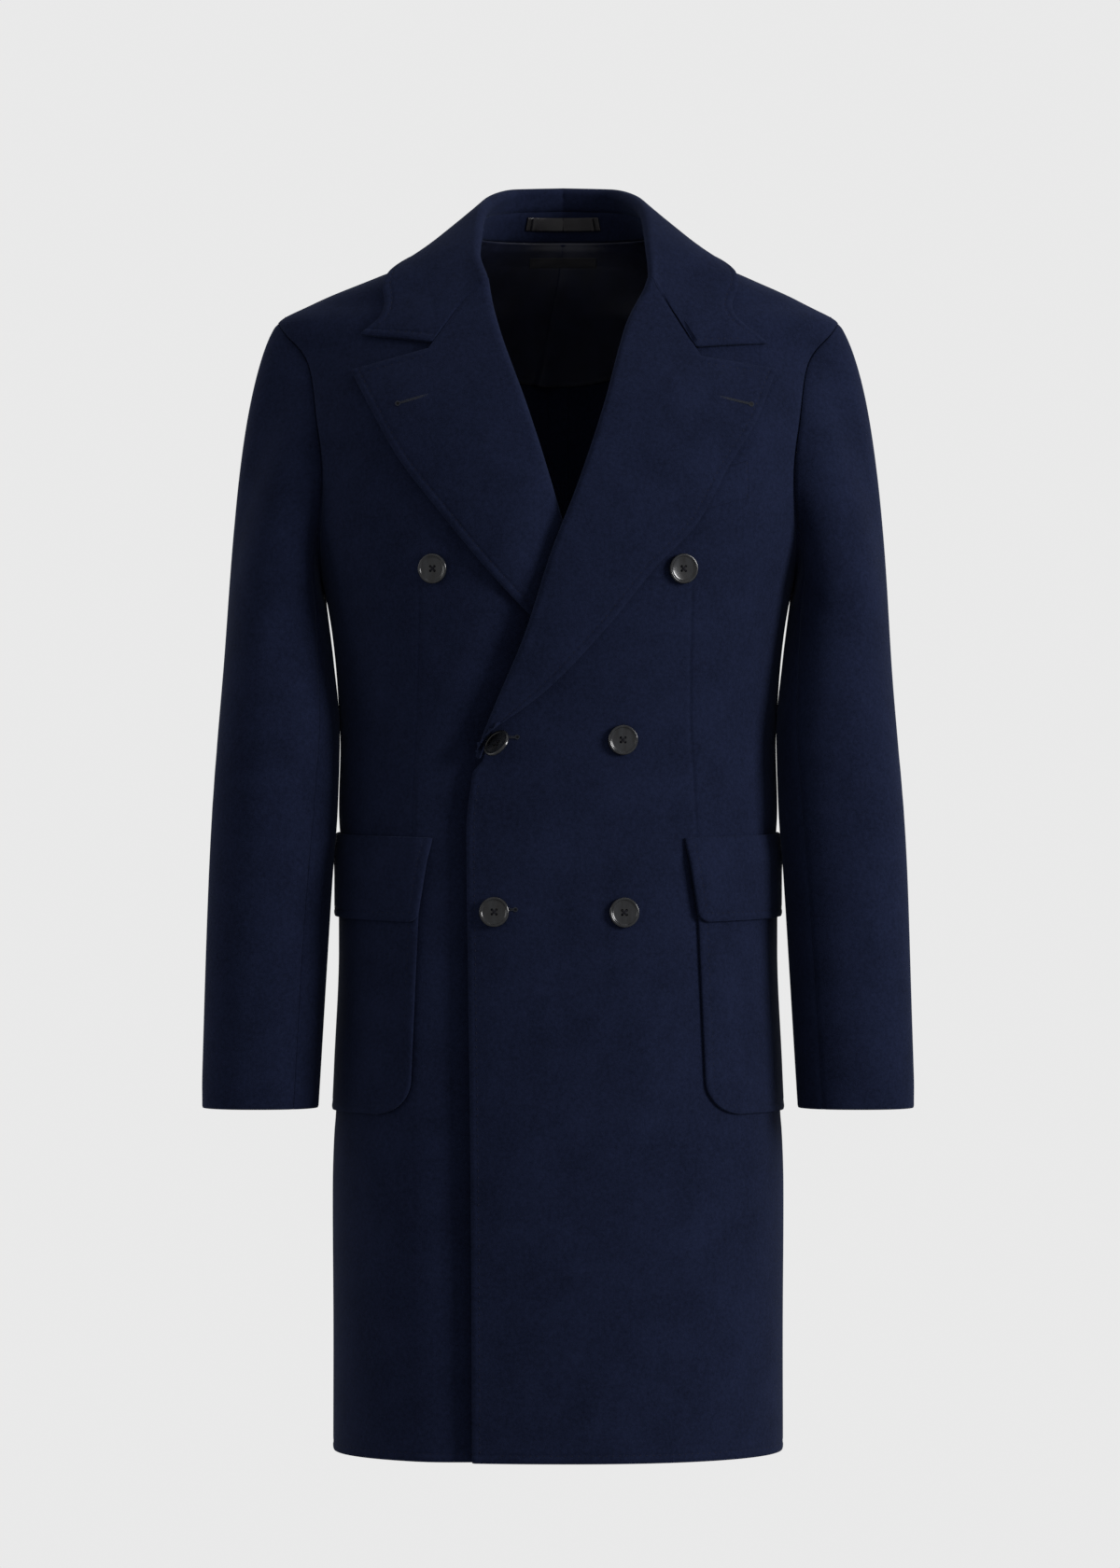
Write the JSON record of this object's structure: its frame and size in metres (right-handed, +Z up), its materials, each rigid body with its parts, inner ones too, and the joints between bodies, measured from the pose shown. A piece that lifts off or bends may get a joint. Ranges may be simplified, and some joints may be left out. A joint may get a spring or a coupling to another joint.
{
  "type": "overcoat",
  "caption": "Hollow double-breasted wool overcoat in its worn form, with peak lapels, patch pockets with flaps, a chest welt and a half-lined back.",
  "frame": {"origin": "midway between the shoulders, on the line of the shoulder seams, where a wearer carries the coat", "axes": "+Z up, -Y towards the fronts, +X towards the wearer's left, so the coat is seen from -Y with the left front on the right"},
  "size_m": [0.594, 0.3026, 1.0685],
  "materials": {
    "wool": "navy melton wool with a short soft nap",
    "lining": "dark navy satin lining",
    "tape": "glossy black ribbon",
    "label": "plain black woven tape, left bare",
    "button": "polished black resin"
  },
  "bodies": {
    "root": {"front_left": "wool", "front_right": "wool", "back_left": "wool", "back_right": "wool", "top_sleeve_left": "wool", "top_sleeve_right": "wool", "under_sleeve_left": "wool", "under_sleeve_right": "wool", "lapel_left": "wool", "lapel_right": "wool", "collar": "wool", "collar_stand": "wool", "patch_pocket_left": "wool", "patch_pocket_right": "wool", "pocket_flap_left": "wool", "pocket_flap_right": "wool", "chest_welt": "wool", "back_lining": "lining", "hanger_loop": "tape", "neck_label": "label", "button_top_left": "button", "button_top_right": "button", "button_middle_left": "button", "button_middle_right": "button", "button_low_left": "button", "button_low_right": "button"}
  },
  "joints": []
}
